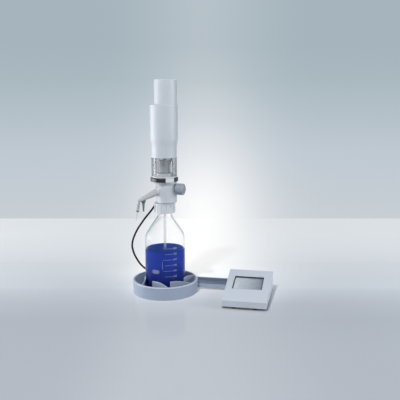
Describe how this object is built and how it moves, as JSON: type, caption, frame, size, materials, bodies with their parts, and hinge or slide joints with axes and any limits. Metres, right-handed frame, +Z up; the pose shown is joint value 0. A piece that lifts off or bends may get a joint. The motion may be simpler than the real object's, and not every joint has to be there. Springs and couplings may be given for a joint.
{
  "type": "motorized bottle top dispenser",
  "caption": "Motor-driven piston dispenser head on a clear laboratory bottle, standing in a finned ring joined by a low arm to a sloping touch console.",
  "frame": {"origin": "centre of the stand ring's underside, on the table, on the axis of the bottle and head", "axes": "+Z up along the bottle's axis, +X along the arm to the console, -Y the side the console faces"},
  "size_m": [0.3807, 0.215, 0.53],
  "materials": {
    "stand_plastic": "satin",
    "mat_rubber": "matte",
    "strip_plastic": "satin",
    "cable_rubber": "satin",
    "console_plastic": "satin",
    "screen_glass": "gloss",
    "display": "gloss",
    "circuit": "satin",
    "light_pipe": "gloss",
    "socket": "satin",
    "bottle_glass": "gloss",
    "reagent": "liquid",
    "head_plastic": "satin",
    "gasket": "matte",
    "valve_plastic": "satin",
    "ball_glass": "gloss",
    "knob_plastic": "satin",
    "dip_plastic": "satin",
    "spout_plastic": "satin",
    "dark_plastic": "satin",
    "capillary_tube": "gloss",
    "base_plastic": "satin",
    "lock_black": "gloss",
    "clear_plastic": "gloss",
    "piston_ceramic": "satin",
    "seal_plastic": "satin",
    "steel": "brushed",
    "aluminium": "satin",
    "bronze": "satin",
    "motor_can": "satin",
    "housing_plastic": "satin"
  },
  "bodies": {
    "base": {"stand_ring": "stand_plastic", "centring_insert": "stand_plastic", "arm_channel": "stand_plastic", "base_mat": "mat_rubber", "console_feet": "mat_rubber", "arm_cover": "strip_plastic", "arm_gland": "cable_rubber", "duct_lead": "cable_rubber", "cable_gland": "cable_rubber", "gland_nut": "cable_rubber", "cable": "cable_rubber", "console_base": "console_plastic", "console_top": "console_plastic", "touch_glass": "screen_glass", "display_panel": "display", "control_board": "circuit", "drive_board": "circuit", "status_light": "light_pipe", "power_socket": "socket", "bottle": "bottle_glass", "glass_barrel": "bottle_glass", "liquid": "reagent", "collar_retainer": "head_plastic", "valve_block": "head_plastic", "barrel_holder": "head_plastic", "bottle_gasket": "gasket", "valve_seat": "valve_plastic", "discharge_valve": "valve_plastic", "dip_tube": "dip_plastic", "discharge_arm": "spout_plastic", "nozzle": "spout_plastic", "nozzle_band": "dark_plastic", "capillary": "capillary_tube", "barrel_base": "base_plastic", "clear_sleeve": "clear_plastic", "guide_rods": "steel", "screw_bearing": "steel", "motor_standoffs": "steel", "drive_plate": "aluminium", "motor_plate": "aluminium", "drive_motor": "motor_can", "drive_housing": "housing_plastic", "top_cover": "housing_plastic"},
    "screw": {"lead_screw": "steel", "shaft_coupling": "steel", "motor_shaft": "steel"},
    "piston": {"piston": "piston_ceramic", "piston_seal": "seal_plastic", "piston_rod": "steel", "carriage": "aluminium", "guide_bushes": "bronze", "drive_nut": "bronze"},
    "valve": {"valve_plug": "valve_plastic", "valve_knob": "knob_plastic"},
    "lock": {"lock_ring": "lock_black"},
    "button": {"lock_button": "base_plastic"},
    "collar": {"collar": "head_plastic"},
    "suction_ball": {"suction_ball": "ball_glass"},
    "dip_lower": {"dip_tube_lower": "dip_plastic"},
    "cap": {"tip_cap": "dark_plastic"}
  },
  "joints": [
    {"name": "screw_turn", "type": "hinge", "parent": "base", "child": "screw", "pos_m": [0, 0, 0.45], "axis": [0, 0, 1], "range_deg": [0, 1800]},
    {"name": "piston_slide", "type": "slide", "parent": "base", "child": "piston", "axis": [0, 0, 1], "range_m": [0, 0.04]},
    {"name": "valve_knob_turn", "type": "hinge", "parent": "base", "child": "valve", "pos_m": [0, 0, 0.2643], "axis": [0.9803, -0.1977, 0], "range_deg": [0, 90]},
    {"name": "lock_ring_turn", "type": "hinge", "parent": "base", "child": "lock", "pos_m": [0, 0, 0.2875], "axis": [0, 0, 1], "range_deg": [0, 30]},
    {"name": "release_button_press", "type": "slide", "parent": "lock", "child": "button", "axis": [-0.6374, 0.7705, 0], "range_m": [0, 0.0012], "stiffness_N_per_m": 400},
    {"name": "collar_turn", "type": "hinge", "parent": "base", "child": "collar", "pos_m": [0, 0, 0.216], "axis": [0, 0, 1], "range_deg": [0, 540]},
    {"name": "suction_ball_lift", "type": "slide", "parent": "base", "child": "suction_ball", "axis": [0, 0, 1], "range_m": [0, 0.002]},
    {"name": "dip_tube_slide", "type": "slide", "parent": "base", "child": "dip_lower", "axis": [0, 0, 1], "range_m": [0, 0.04]},
    {"name": "tip_cap_pull", "type": "slide", "parent": "base", "child": "cap", "axis": [0, 0, -1], "range_m": [0, 0.012]}
  ],
  "couplings": [
    {"joint": "screw_turn", "follows": "piston_slide", "rad_per_m": 785.4}
  ]
}
